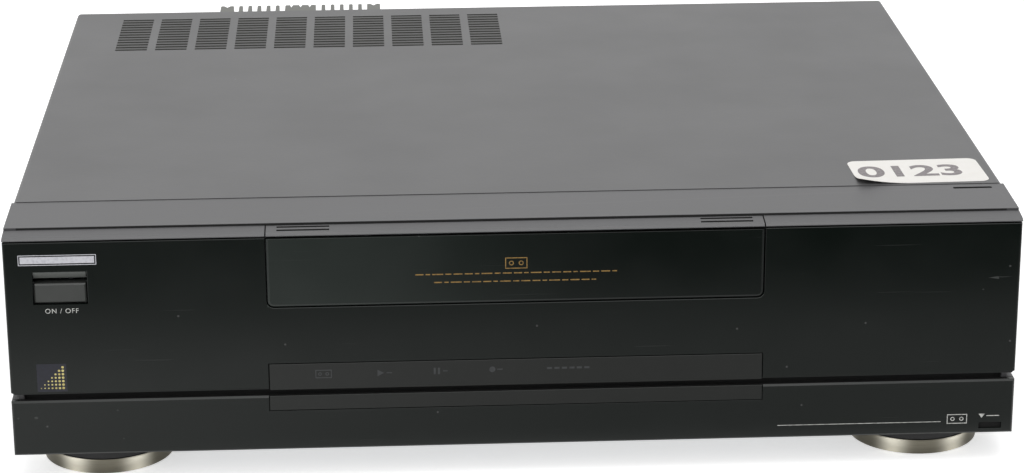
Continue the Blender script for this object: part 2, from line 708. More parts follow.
def make_chassis_tray():
    """Steel tray with folded sides and rear, board stand-offs and slots for cooling air."""
    outline = [(u, FOOT_LIFT + FLANGE_HEIGHT - (v - FOOT_LIFT)) for u, v in folded_channel(
        TRAY_HALF, FOOT_LIFT, FOOT_LIFT + FLANGE_HEIGHT, FOLD_RADIUS, SHEET)]
    tray = solid("chassis_tray", prism("Y", outline, front(TRAY_FRONT), front(PANEL_FRONT - GAP)),
                 "zinc_steel")
    fuse(tray, joined(board_posts(*main_board_plan()) + board_posts(*power_board_plan())))
    slots = []
    middle_x = -(BAY_INNER + BAY_OUTER) / 2
    first_y = front(BOARD_BACK) - POWER_BOARD_LENGTH / 2 - TRAY_VENTS * TRAY_VENT_PITCH / 2
    for index in range(TRAY_VENTS):
        near = first_y + index * TRAY_VENT_PITCH
        outline = stadium((middle_x - TRAY_VENT_LENGTH / 2, middle_x + TRAY_VENT_LENGTH / 2),
                          (near, near + TRAY_VENT_WIDTH))
        slots.append(prism("Z", outline, FOOT_LIFT - OVERRUN, FLOOR_TOP + OVERRUN))
    cut(tray, joined(slots))
    corners = []
    for side in (-1, 1):
        ends = sorted((side * (TRAY_HALF - FOLD_RADIUS), side * (TRAY_HALF + OVERRUN)))
        corners.append(slab(ends, (front(TRAY_FRONT) - OVERRUN, front(FRONT_DEPTH + GAP)),
                            (FLOOR_TOP, FLOOR_TOP + FLANGE_HEIGHT)))
    cut(tray, joined(corners))
    flange = (front(PANEL_FRONT - GAP - SHEET), front(PANEL_FRONT - GAP))
    fuse(tray, slab((-TRAY_HALF + FOLD_RADIUS, TRAY_HALF - FOLD_RADIUS), flange,
                    (FLOOR_TOP - ROOTING, FOOT_LIFT + FLANGE_HEIGHT)))
    return cut(tray, screw_holes(flange[0] - OVERRUN, flange[1] + OVERRUN))


def socket_row_z():
    return FLOOR_TOP + SOCKET_RISE


def sink_boss_inner():
    """From the heat sink's middle to the inner side of its end bosses."""
    return SINK_BLOCK / 2 + FIN_BLOCK_GAP + (SINK_FINS - 1) * FIN_PITCH + FIN_THICKNESS + BOSS_GAP


def socket_centres():
    """Middles of the two SCART sockets, the jacks and the aerial unit, spread evenly in their row."""
    widths = (SCART_WIDTH, SCART_WIDTH, JACK_BLOCK_WIDTH, AERIAL_WIDTH)
    left = -HALF_BODY + SINK_CENTRE_INSET + sink_boss_inner() + SINK_BOSS
    space = (HALF_BODY - SOCKET_ROW_INSET - left - sum(widths)) / len(widths)
    centres = []
    for width in widths:
        centres.append(left + space + width / 2)
        left += space + width
    return centres


def screw_places():
    """Places of the screw holes in the rear panel: a low row, and two at the aerial unit."""
    low = FLOOR_TOP + SCREW_RISE
    places = [(share * TRAY_HALF, low) for share in SCREW_SHARES]
    aerial = socket_centres()[-1]
    row = socket_row_z()
    return places + [(aerial, row - AERIAL_SCREW_RISE), (aerial, row + AERIAL_SCREW_RISE)]


def screw_holes(start, end):
    return joined([rod("Y", place, SCREW_RADIUS + GAP, start, end, SCREW_STEPS) for place in screw_places()])


def inlet_x():
    return -HALF_BODY + INLET_CENTRE_INSET


def inlet_z():
    return FLOOR_TOP + INLET_RISE


def make_rear_panel():
    """Steel rear panel with an opening round each socket."""
    sheet = slab((-TRAY_HALF, TRAY_HALF), (front(PANEL_FRONT), front(PANEL_BACK)),
                 (FLOOR_TOP + GAP, COVER_TOP - SHEET - GAP))
    panel = solid("rear_panel", sheet, "zinc_steel")
    row = socket_row_z()
    *scarts, jacks, aerial = socket_centres()
    plans = [(centre, row, SCART_WIDTH, SCART_HEIGHT) for centre in scarts]
    plans.append((jacks, row, JACK_PITCH + JACK_RADIUS * 2, JACK_PITCH + JACK_RADIUS * 2))
    plans.append((aerial, row, AERIAL_PITCH + AERIAL_RADIUS * 2, AERIAL_RADIUS * 2))
    plans.append((inlet_x(), inlet_z(), INLET_WIDTH, INLET_HEIGHT))
    holes = []
    for centre_x, centre_z, width, height in plans:
        holes.append(slab((centre_x - width / 2 - GAP, centre_x + width / 2 + GAP),
                          (front(PANEL_FRONT) - OVERRUN, front(PANEL_BACK) + OVERRUN),
                          (centre_z - height / 2 - GAP, centre_z + height / 2 + GAP)))
    cut(panel, joined(holes))
    return cut(panel, screw_holes(front(PANEL_FRONT) - OVERRUN, front(PANEL_BACK) + OVERRUN))


def strip_profile(start, end):
    """Section of the top strip between two depths, from its top down to its underside."""
    slope = STRIP_FALL / STRIP_DEPTH
    top = [(front(start), NOSE_Z + start * slope), (front(end), NOSE_Z + end * slope)]
    under = [(front(end), MOULDING_UNDER)]
    if start == 0:
        under += [(front(NOSE_UNDERCUT), MOULDING_UNDER), (front(start), NOSE_Z - NOSE_LIP)]
    else:
        under += [(front(start), MOULDING_UNDER)]
    return top + under


def moulding_profile():
    """Section of the moulded top: sloping strip, fine groove, then flat to the cover."""
    groove = STRIP_DEPTH + STRIP_GROOVE_WIDTH
    points = strip_profile(0, STRIP_DEPTH)
    top = points[:2]
    under = points[3:]
    top += [(front(STRIP_DEPTH), MOULDING_TOP - STRIP_GROOVE_DEPTH)]
    top += [(front(groove), MOULDING_TOP - STRIP_GROOVE_DEPTH), (front(groove), MOULDING_TOP)]
    top += [(front(FRONT_DEPTH), MOULDING_TOP), (front(FRONT_DEPTH), MOULDING_UNDER)]
    return top + under


def make_front_frame():
    """Moulded front: top moulding, side cheeks, bar behind the groove, and bottom rail."""
    frame = solid("front_frame", prism("X", moulding_profile(), -HALF_BODY, HALF_BODY), "front_plastic")
    back = front(FRONT_DEPTH)
    behind_fascia = front(FASCIA_THICKNESS + GAP)
    for side in (-1, 1):
        wall = sorted((side * CHEEK_INNER, side * CHEEK_OUTER))
        pad = sorted((side * (CHEEK_OUTER - ROOTING), side * HALF_BODY))
        fuse(frame, slab(wall, (behind_fascia, back), (FLOOR_TOP + GAP, MOULDING_UNDER + ROOTING)))
        fuse(frame, slab(pad, (behind_fascia, back), (FLOOR_TOP + GAP, FLAP_TOP)))
        boss = sorted((side * MOUTH_HALF, side * (MOUTH_HALF + LID_BOSS_WIDTH)))
        fuse(frame, slab(boss, (front(LID_BOSS_SKIN + GAP), front(LID_AXIS_DEPTH + LID_BOSS_BACK)),
                         (LID_AXIS_Z - LID_BOSS_BACK, MOULDING_UNDER + ROOTING)))
    bar = (-CHEEK_INNER - ROOTING, CHEEK_INNER + ROOTING)
    fuse(frame, slab(bar, (front(SHELF_DEPTH), front(SHELF_DEPTH + SHELF_LENGTH)),
                     (SHELF_BOTTOM, SHELF_TOP)))
    fuse(frame, slab(bar, (front(TRAY_FRONT), back), (FLOOR_TOP + GAP, RAIL_TOP)))
    insert = (-MOUTH_HALF, MOUTH_HALF)
    cut(frame, slab(insert, (front(-OVERRUN), front(STRIP_DEPTH)),
                    (MOULDING_UNDER - OVERRUN, MOULDING_TOP + OVERRUN)))
    lid_hole = rod("X", (front(LID_AXIS_DEPTH), LID_AXIS_Z), LID_PIN_RADIUS + GAP,
                   -MOUTH_HALF - LID_BOSS_WIDTH - OVERRUN, MOUTH_HALF + LID_BOSS_WIDTH + OVERRUN)
    cut(frame, lid_hole)
    flap_axis = (front(FLAP_AXIS_DEPTH), FLAP_BOTTOM + FLAP_AXIS_RISE)
    for side in (-1, 1):
        ear = sorted((side * CHEEK_INNER, side * CHEEK_OUTER))
        fuse(frame, rod("X", flap_axis, FLAP_AXIS_RISE - GAP, *ear))
    cut(frame, rod("X", flap_axis, FLAP_PIN_RADIUS + GAP, -CHEEK_OUTER - OVERRUN, CHEEK_OUTER + ROOTING))
    slot_end = HALF_BODY - FINGER_SLOT_INSET
    slot_back = front(FRONT_DEPTH - FINGER_SLOT_BACK)
    finger = stadium((slot_end - FINGER_SLOT_LENGTH, slot_end), (slot_back - FINGER_SLOT_WIDTH, slot_back))
    return cut(frame, prism("Z", finger, MOULDING_TOP - FINGER_SLOT_DEPTH, MOULDING_TOP + OVERRUN))


def button_centre_x():
    return -HALF_BODY + BUTTON_CENTRE_INSET


def button_top():
    return FASCIA_TOP - BUTTON_TOP_DROP


def make_fascia_panel():
    """Gloss front with side returns, open for the lid, the display window and the button."""
    plan = arc((-HALF_BODY + FASCIA_CORNER, front(FASCIA_CORNER)), FASCIA_CORNER, 180, 270, CORNER_STEPS)
    plan += arc((HALF_BODY - FASCIA_CORNER, front(FASCIA_CORNER)), FASCIA_CORNER, 270, 360, CORNER_STEPS)
    rear = front(FRONT_DEPTH)
    inner = HALF_BODY - FASCIA_RETURN
    wall = front(FASCIA_THICKNESS)
    plan += [(HALF_BODY, rear), (inner, rear), (inner, wall), (-inner, wall), (-inner, rear),
             (-HALF_BODY, rear)]
    shell = prism("Z", plan, FASCIA_BOTTOM, FASCIA_TOP)
    outer_low = [edge for edge in shell.edges if edge_at(edge, 2, FASCIA_BOTTOM)
                 and all(v.co.y < wall - GAP or abs(v.co.x) > inner + GAP for v in edge.verts)
                 and not edge_at(edge, 1, rear)]
    bmesh.ops.bevel(shell, geom=outer_low, offset=FASCIA_BEVEL, segments=2, affect="EDGES")
    fascia = solid("fascia_panel", shell, "gloss_black")
    through = (front(-OVERRUN), front(FASCIA_THICKNESS + OVERRUN))
    mouth = prism("Y", rounded((-MOUTH_HALF, MOUTH_HALF), (MOUTH_BOTTOM, FASCIA_TOP + OVERRUN),
                               LID_CORNER + LID_SEAM, low_only=True), *through)
    window = slab((-MOUTH_HALF, MOUTH_HALF), through,
                  (FASCIA_BOTTOM - OVERRUN, FASCIA_BOTTOM + WINDOW_HEIGHT))
    cut(fascia, joined([mouth, window]))
    centre = button_centre_x()
    reach = BUTTON_WIDTH / 2 + BUTTON_GAP
    sill = button_top() - BUTTON_HEIGHT - BUTTON_GAP
    lintel = button_top() + BUTTON_FINGER_GAP
    scoop = [(front(-OVERRUN), lintel + SCOOP_HEIGHT), (front(0), lintel + SCOOP_HEIGHT),
             (front(SCOOP_DEPTH), lintel), (front(FASCIA_THICKNESS + OVERRUN), lintel),
             (front(FASCIA_THICKNESS + OVERRUN), sill), (front(-OVERRUN), sill)]
    cut(fascia, prism("X", scoop, centre - reach, centre + reach))
    pockets = []
    for side in (-1, 1):
        ends = sorted((side * (MOUTH_HALF - GAP), side * (MOUTH_HALF + LID_BOSS_WIDTH + GAP)))
        pockets.append(slab(ends, (front(LID_BOSS_SKIN), front(FASCIA_THICKNESS + OVERRUN)),
                            (LID_AXIS_Z - LID_BOSS_BACK - GAP, FASCIA_TOP + OVERRUN)))
    return cut(fascia, joined(pockets))


def make_lid_trim():
    """Strip insert above the cassette lid, with two pairs of dark slots."""
    half = MOUTH_HALF - GAP
    trim = solid("lid_trim", prism("X", strip_profile(0, STRIP_DEPTH - GAP), -half, half),
                 "front_plastic")
    slots = []
    for side in (-1, 1):
        ends = sorted((side * (half - TRIM_SLOT_END), side * (half - TRIM_SLOT_END - TRIM_SLOT_LENGTH)))
        for depth in TRIM_SLOT_DEPTHS:
            top = NOSE_Z + STRIP_FALL * depth / STRIP_DEPTH
            slots.append(slab(ends, (front(depth), front(depth + TRIM_SLOT_WIDTH)),
                              (top - TRIM_SLOT_DEPTH, MOULDING_TOP + OVERRUN)))
    return cut(trim, joined(slots))


def make_cassette_lid():
    """Lid that swings inwards on two pins, with stiffening ribs behind its face."""
    pivot = (0, front(LID_AXIS_DEPTH), LID_AXIS_Z)
    face = prism("Y", rounded((-LID_HALF, LID_HALF), (LID_BOTTOM, LID_TOP), LID_CORNER, low_only=True),
                 front(0), front(LID_THICKNESS))
    bevelled(face, lambda edge: edge_at(edge, 1, front(0)) and not edge_at(edge, 2, LID_TOP), LID_BEVEL)
    lid = solid("cassette_lid", face, "gloss_black", pivot)
    for side in (-1, 1):
        ends = sorted((side * (LID_HALF - LID_ARM_WIDTH), side * LID_HALF))
        hub = arc((front(LID_AXIS_DEPTH), LID_AXIS_Z), LID_ARM_RADIUS, -90, 90, CORNER_STEPS * 2)
        root = front(LID_THICKNESS - ROOTING)
        hub.append((root, LID_AXIS_Z + LID_ARM_RADIUS * LID_ARM_TOP_SHARE))
        hub.append((root, LID_AXIS_Z - LID_ARM_RADIUS))
        fuse(lid, prism("X", hub, *ends))
        pin = sorted((side * (LID_HALF - ROOTING), side * (LID_HALF + LID_PIN_LENGTH)))
        fuse(lid, rod("X", (front(LID_AXIS_DEPTH), LID_AXIS_Z), LID_PIN_RADIUS, *pin, PIN_STEPS))
    inner = LID_HALF - LID_ARM_WIDTH
    rib_y = (front(LID_THICKNESS - ROOTING), front(LID_THICKNESS + LID_RIB_HEIGHT))
    ribs = []
    for share in LID_RIB_SHARES:
        rib_z = LID_BOTTOM + LID_HEIGHT * share
        ribs.append(slab((-inner, inner), rib_y, (rib_z, rib_z + LID_RIB_WIDTH)))
    return fuse(lid, joined(ribs))


def make_display():
    """Smoked window, fluorescent display tube and the board that carries it."""
    half = MOUTH_HALF - GAP
    top = FASCIA_BOTTOM + WINDOW_HEIGHT - GAP
    lip_front = FASCIA_THICKNESS + GAP
    lip_back = lip_front + WINDOW_LIP_THICKNESS
    face = slab((-half, half), (front(0), front(lip_front + ROOTING)), (FASCIA_BOTTOM, top))
    pane = solid("display_window", face, "smoked")
    fuse(pane, slab((-half - WINDOW_LIP, half + WINDOW_LIP), (front(lip_front), front(lip_back)),
                    (FASCIA_BOTTOM + GAP, top + WINDOW_LIP)))
    tube_front = lip_back + GAP
    tube_back = tube_front + TUBE_THICKNESS
    tube = slab((-TUBE_WIDTH / 2, TUBE_WIDTH / 2), (front(tube_front), front(tube_back)),
                (SHELF_TOP + GAP, top))
    bevelled(tube, lambda edge: edge_at(edge, 1, front(tube_front)), TUBE_BEVEL)
    glass = solid("display_tube", tube, "glass")
    board_front = tube_back + PIN_ROW_GAP
    pins = slab((-TUBE_WIDTH / 2 + PIN_ROW_GAP, TUBE_WIDTH / 2 - PIN_ROW_GAP),
                (front(tube_back - ROOTING), front(board_front - GAP)),
                (SHELF_TOP + GAP + PIN_ROW_GAP, SHELF_TOP + GAP + PIN_ROW_GAP * 2))
    fuse(glass, pins)
    board = slab((-half, half), (front(board_front), front(board_front + BOARD_THICKNESS)),
                 (SHELF_TOP + GAP, SHELF_TOP + GAP + DISPLAY_BOARD_HEIGHT))
    solid("display_board", board, "board_green")
    return pane


def make_power_button():
    """Button in its recess, with a flange behind the fascia and a stem to the switch."""
    centre = button_centre_x()
    top = button_top()
    x = (centre - BUTTON_WIDTH / 2, centre + BUTTON_WIDTH / 2)
    z = (top - BUTTON_HEIGHT, top)
    cap = slab(x, (front(BUTTON_FACE_DEPTH), front(FASCIA_THICKNESS + BUTTON_TRAVEL + ROOTING)), z)
    bevelled(cap, lambda edge: edge_at(edge, 1, front(BUTTON_FACE_DEPTH)), BUTTON_BEVEL)
    button = solid("power_button", cap, "key_plastic", (centre, front(0), top - BUTTON_HEIGHT / 2))
    flange = (FASCIA_THICKNESS + GAP, FASCIA_THICKNESS + GAP + BUTTON_FLANGE)
    grow = BUTTON_GAP + BUTTON_FLANGE
    fuse(button, slab((x[0] - grow, x[1] + grow), (front(flange[0]), front(flange[1])),
                      (z[0] - grow, z[1])))
    middle = (z[0] + z[1]) / 2
    stem = BUTTON_STEM_SIZE / 2
    return fuse(button, slab((centre - stem, centre + stem),
                             (front(flange[1] - ROOTING), front(flange[1] + BUTTON_STEM_LENGTH)),
                             (middle - stem, middle + stem)))


def make_control_flap():
    """Flap that folds down on two pins near its bottom edge, with a thumb recess."""
    pivot = (0, front(FLAP_AXIS_DEPTH), FLAP_BOTTOM + FLAP_AXIS_RISE)
    plate = slab((-HALF_BODY, HALF_BODY), (front(0), front(FLAP_THICKNESS)), (FLAP_BOTTOM, FLAP_TOP))
    bevelled(plate, lambda edge: edge_at(edge, 1, front(0)), FLAP_BEVEL)
    flap = solid("control_flap", plate, "gloss_black", pivot)
    root = front(FLAP_THICKNESS - ROOTING)
    for side in (-1, 1):
        outer = CHEEK_INNER - GAP
        ends = sorted((side * (outer - FLAP_EAR_WIDTH), side * outer))
        ear = arc(pivot[1:], FLAP_AXIS_RISE, -90, 90, CORNER_STEPS * 2)
        ear += [(root, pivot[2] + FLAP_AXIS_RISE), (root, pivot[2] - FLAP_AXIS_RISE)]
        fuse(flap, prism("X", ear, *ends))
        pin = sorted((side * (outer - ROOTING), side * (CHEEK_OUTER - GAP)))
        fuse(flap, rod("X", pivot[1:], FLAP_PIN_RADIUS, *pin, PIN_STEPS))
    half = FLAP_TRIM_WIDTH / 2 + GAP
    rebate = slab((-half, half), (front(-OVERRUN), front(FLAP_TRIM_THICKNESS + GAP)),
                  (FLAP_TOP - FLAP_TRIM_HEIGHT - GAP, FLAP_TOP + OVERRUN))
    right = HALF_BODY - THUMB_INSET
    thumb_low = FLAP_BOTTOM + THUMB_RISE
    thumb = slab((right - THUMB_WIDTH, right), (front(-OVERRUN), front(THUMB_DEPTH)),
                 (thumb_low, thumb_low + THUMB_HEIGHT))
    cut(flap, joined([rebate, thumb]))
    trim = slab((-half + GAP, half - GAP), (front(0), front(FLAP_TRIM_THICKNESS)),
                (FLAP_TOP - FLAP_TRIM_HEIGHT, FLAP_TOP))
    solid("flap_trim", trim, "smoked", pivot)
    return flap


def key_centre_x(index):
    return (index - (len(KEY_NAMES) - 1) / 2) * KEY_PITCH


def make_control_panel():
    """Recessed panel behind the flap, its keys, and the board under them."""
    z = (RAIL_TOP + GAP, SHELF_BOTTOM - GAP)
    middle = (z[0] + z[1]) / 2
    panel_back = PANEL_DEPTH + PANEL_THICKNESS
    panel = solid("control_panel", slab((-CHEEK_INNER + GAP, CHEEK_INNER - GAP),
                                        (front(PANEL_DEPTH), front(panel_back)), z), "black_plastic")
    flange_front = panel_back + GAP
    flange_back = flange_front + KEY_FLANGE
    holes = []
    for index, key_name in enumerate(KEY_NAMES):
        centre = key_centre_x(index)
        x = (centre - KEY_WIDTH / 2, centre + KEY_WIDTH / 2)
        key_z = (middle - KEY_HEIGHT / 2, middle + KEY_HEIGHT / 2)
        holes.append(slab((x[0] - KEY_GAP, x[1] + KEY_GAP),
                          (front(PANEL_DEPTH - OVERRUN), front(panel_back + OVERRUN)),
                          (key_z[0] - KEY_GAP, key_z[1] + KEY_GAP)))
        cap = slab(x, (front(KEY_FACE_DEPTH), front(flange_front + ROOTING)), key_z)
        bevelled(cap, lambda edge: edge_at(edge, 1, front(KEY_FACE_DEPTH)), KEY_BEVEL)
        key = solid("key_" + key_name, cap, "key_plastic", (centre, front(KEY_FACE_DEPTH), middle))
        grow = KEY_GAP + KEY_FLANGE
        fuse(key, slab((x[0] - grow, x[1] + grow), (front(flange_front), front(flange_back)),
                       (key_z[0] - grow, key_z[1] + grow)))
        stem = KEY_STEM_SIZE / 2
        fuse(key, slab((centre - stem, centre + stem),
                       (front(flange_back - ROOTING), front(flange_back + KEY_STEM_LENGTH)),
                       (middle - stem, middle + stem)))
    cut(panel, joined(holes))
    board_front = flange_back + KEY_STEM_LENGTH + KEY_TRAVEL + GAP
    reach = key_centre_x(len(KEY_NAMES) - 1) + KEY_PITCH / 2
    board = slab((-reach, reach), (front(board_front), front(board_front + BOARD_THICKNESS)),
                 (RAIL_TOP + GAP, RAIL_TOP + GAP + KEY_BOARD_HEIGHT))
    solid("key_board", board, "board_green")
    return panel


def foot_places():
    side = HALF_BODY - FOOT_INSET
    rear = COVER_BACK - FOOT_REAR_INSET
    return {"front_left": (-side, FOOT_FRONT_DEPTH), "front_right": (side, FOOT_FRONT_DEPTH),
            "rear_left": (-side, rear), "rear_right": (side, rear)}


def make_feet():
    """Round plastic feet, each with a champagne metal ring round its lower half."""
    neck = FOOT_RADIUS - FOOT_NECK_INSET
    core = FOOT_RADIUS - FOOT_RING_WALL - GAP
    top = FOOT_LIFT - GAP
    step = FOOT_RING_HEIGHT + GAP
    body = [(0, 0), (core - FOOT_BEVEL, 0), (core, FOOT_BEVEL), (core, step), (neck, step), (neck, top),
            (0, top)]
    inner = FOOT_RADIUS - FOOT_RING_WALL
    ring = [(inner, GAP), (FOOT_RADIUS - FOOT_BEVEL, GAP), (FOOT_RADIUS, GAP + FOOT_BEVEL),
            (FOOT_RADIUS, FOOT_RING_HEIGHT - FOOT_BEVEL), (FOOT_RADIUS - FOOT_BEVEL, FOOT_RING_HEIGHT),
            (inner, FOOT_RING_HEIGHT)]
    for place_name, (x, depth) in foot_places().items():
        place = (x, front(depth), 0)
        core_shape = shifted(turned(body, ROUND_STEPS), place)
        ring_shape = shifted(turned(ring, ROUND_STEPS, True), place)
        solid("foot_" + place_name, core_shape, "black_plastic", place)
        solid("foot_ring_" + place_name, ring_shape, "champagne", place)


# Rear

def sink_outline(base_front, base_back, tip):
    """Comb of fins with a grooved middle block and a notched boss at each end."""
    centre = -HALF_BODY + SINK_CENTRE_INSET
    first_fin = SINK_BLOCK / 2 + FIN_BLOCK_GAP + FIN_THICKNESS / 2
    boss_inner = sink_boss_inner()
    boss_middle = boss_inner + SINK_BOSS / 2
    posts = [(-boss_inner - SINK_BOSS, -boss_inner, [-boss_middle], BOSS_CUT, BOSS_CUT_DEPTH)]
    for index in reversed(range(SINK_FINS)):
        middle = -first_fin - index * FIN_PITCH
        posts.append((middle - FIN_THICKNESS / 2, middle + FIN_THICKNESS / 2, [], 0, 0))
    grooves = [(index - (SINK_BLOCK_CUTS - 1) / 2) * FIN_PITCH for index in range(SINK_BLOCK_CUTS)]
    posts.append((-SINK_BLOCK / 2, SINK_BLOCK / 2, grooves, SINK_BLOCK_CUT, SINK_BLOCK_CUT_DEPTH))
    for index in range(SINK_FINS):
        middle = first_fin + index * FIN_PITCH
        posts.append((middle - FIN_THICKNESS / 2, middle + FIN_THICKNESS / 2, [], 0, 0))
    posts.append((boss_inner, boss_inner + SINK_BOSS, [boss_middle], BOSS_CUT, BOSS_CUT_DEPTH))
    points = [(centre + posts[-1][1], front(base_front)), (centre + posts[0][0], front(base_front))]
    for left, right, cuts, width, depth in posts:
        points.append((centre + left, front(base_back)))
        points.append((centre + left, front(tip - FIN_ROUND)))
        points.append((centre + left + FIN_ROUND, front(tip)))
        for middle in cuts:
            points.append((centre + middle - width / 2, front(tip)))
            points.append((centre + middle, front(tip - depth)))
            points.append((centre + middle + width / 2, front(tip)))
        points.append((centre + right - FIN_ROUND, front(tip)))
        points.append((centre + right, front(tip - FIN_ROUND)))
        points.append((centre + right, front(base_back)))
    points.pop(2)
    points.pop()
    return points


def make_heat_sink():
    base_front = PANEL_BACK + GAP
    outline = sink_outline(base_front, base_front + SINK_BASE, COVER_BACK + SINK_REACH)
    top = COVER_TOP - SINK_DROP
    return solid("heat_sink", prism("Z", outline, top - SINK_HEIGHT, top), "raw_aluminium")


def scart_outline(centre_x, centre_z, shrink):
    """Five-sided face of the socket, with one slanted end."""
    left = centre_x - SCART_WIDTH / 2 + shrink
    right = centre_x + SCART_WIDTH / 2 - shrink
    low = centre_z - SCART_HEIGHT / 2 + shrink
    high = centre_z + SCART_HEIGHT / 2 - shrink
    return [(left, low), (right - SCART_SLANT, low), (right, high - SCART_SLANT), (right, high), (left, high)]


def make_scart_sockets():
    for index, centre in enumerate(socket_centres()[:2]):
        row = socket_row_z()
        end = PANEL_BACK + SCART_PROUD
        start = end - SCART_LENGTH
        body = prism("Y", scart_outline(centre, row, 0), front(start), front(end))
        socket = solid("scart_socket_" + str(index + 1), body, "black_plastic")
        cut(socket, prism("Y", scart_outline(centre, row, SCART_WALL), front(end - SCART_CAVITY),
                          front(end + OVERRUN)))
        fuse(socket, prism("Y", scart_outline(centre, row, SCART_WALL + SCART_GROOVE),
                           front(end - SCART_CAVITY - ROOTING), front(end - SCART_BLOCK_SINK)))


def make_jack_block():
    """Four phono sockets in one moulded block."""
    row = socket_row_z()
    centre = socket_centres()[2]
    block_back = PANEL_FRONT - GAP
    x = (centre - JACK_BLOCK_WIDTH / 2, centre + JACK_BLOCK_WIDTH / 2)
    z = (row - JACK_BLOCK_HEIGHT / 2, row + JACK_BLOCK_HEIGHT / 2)
    block = solid("rca_jack_block", slab(x, (front(block_back - JACK_BLOCK_LENGTH), front(block_back)), z),
                  "black_plastic")
    reach = JACK_PITCH / 2
    places = [(centre + side * reach, row + level * reach) for side in (-1, 1) for level in (-1, 1)]
    end = PANEL_BACK + JACK_PROUD
    fuse(block, joined([rod("Y", place, JACK_RADIUS, front(block_back - ROOTING), front(end))
                        for place in places]))
    return cut(block, joined([rod("Y", place, JACK_BORE, front(end - JACK_BORE_DEPTH), front(end + OVERRUN),
                                  PIN_STEPS) for place in places]))


def make_aerial_block():
    """Screened aerial unit with its two coaxial sockets."""
    row = socket_row_z()
    centre = socket_centres()[-1]
    block_back = PANEL_FRONT - GAP
    x = (centre - AERIAL_WIDTH / 2, centre + AERIAL_WIDTH / 2)
    z = (row - AERIAL_HEIGHT / 2, row + AERIAL_HEIGHT / 2)
    block = solid("aerial_block", slab(x, (front(block_back - AERIAL_LENGTH), front(block_back)), z),
                  "zinc_steel")
    places = [(centre + side * AERIAL_PITCH / 2, row) for side in (-1, 1)]
    end = PANEL_BACK + AERIAL_PROUD
    fuse(block, joined([rod("Y", place, AERIAL_RADIUS, front(block_back - ROOTING), front(end))
                        for place in places]))
    cut(block, joined([rod("Y", place, AERIAL_BORE, front(PANEL_BACK), front(end + OVERRUN), PIN_STEPS)
                       for place in places]))
    cut(block, screw_holes(front(PANEL_BACK - SCREW_LENGTH) - OVERRUN, front(block_back) + OVERRUN))
    return fuse(block, joined([rod("Y", place, AERIAL_CONTACT, front(PANEL_BACK - ROOTING),
                                   front(end - AERIAL_CONTACT_SINK), PIN_STEPS) for place in places]))


def make_mains_inlet():
    """Two-pin mains inlet with a figure-of-eight recess; the lead isn't part of the object."""
    x, z = inlet_x(), inlet_z()
    end = PANEL_BACK + INLET_PROUD
    body = slab((x - INLET_WIDTH / 2, x + INLET_WIDTH / 2),
                (front(end - INLET_LENGTH), front(end - INLET_PROUD / 2)),
                (z - INLET_HEIGHT / 2, z + INLET_HEIGHT / 2))
    inlet = solid("mains_inlet", body, "black_plastic")
    wide = INLET_WIDTH / 2 + INLET_LIP
    tall = INLET_HEIGHT / 2 + INLET_LIP
    fuse(inlet, slab((x - wide, x + wide), (front(PANEL_BACK + GAP), front(end)), (z - tall, z + tall)))
    half = INLET_LOBE_PITCH / 2
    waist = math.degrees(math.acos(half / INLET_LOBE_RADIUS))
    lobes = arc((x + half, z), INLET_LOBE_RADIUS, waist - 180, 180 - waist, SMALL_STEPS // 2)
    lobes += arc((x - half, z), INLET_LOBE_RADIUS, waist, 360 - waist, SMALL_STEPS // 2)[1:-1]
    cut(inlet, prism("Y", lobes, front(end - INLET_CAVITY), front(end + OVERRUN)))
    return fuse(inlet, joined([rod("Y", (x + side * INLET_PIN_PITCH / 2, z), INLET_PIN_RADIUS,
                                   front(end - INLET_CAVITY - ROOTING), front(end - INLET_LIP), PIN_STEPS)
                               for side in (-1, 1)]))


# Cassette carriage

def make_cassette_holder():
    """Open-bottomed sheet holder with side ledges; it slides back, then drops on to the reels."""
    y = (front(HOLDER_FRONT), front(HOLDER_BACK))
    low = HOLDER_FLOOR - HOLDER_SHEET
    ledge = HOLDER_INNER - HOLDER_LEDGE
    right = [(ledge, low), (HOLDER_OUTER, low), (HOLDER_OUTER, HOLDER_TOP)]
    right_inner = [(HOLDER_INNER, HOLDER_ROOF), (HOLDER_INNER, HOLDER_FLOOR), (ledge, HOLDER_FLOOR)]
    outline = right + [(-u, v) for u, v in reversed(right)]
    outline += [(-u, v) for u, v in reversed(right_inner)] + right_inner
    middle = (y[0] + y[1]) / 2
    holder = solid("cassette_holder", prism("Y", outline, *y), "zinc_steel", (0, middle, HOLDER_PIN_Z))
    for side in (-1, 1):
        ends = sorted((side * (HOLDER_OUTER - ROOTING), side * (SLIDER_OUTER - GAP)))
        fuse(holder, rod("X", (slot_y(), HOLDER_PIN_Z), HOLDER_PIN_RADIUS, *ends, PIN_STEPS))
    margin = HOLDER_WINDOW_MARGIN
    window = rounded((-HOLDER_INNER + margin, HOLDER_INNER - margin), (y[0] + margin, y[1] - margin),
                     margin / 2)
    return cut(holder, prism("Z", window, HOLDER_ROOF - OVERRUN, HOLDER_TOP + OVERRUN))


def slot_y():
    """Where the holder's pins ride in the slider, along the depth."""
    return front((SLIDER_FRONT + SLIDER_BACK) / 2)


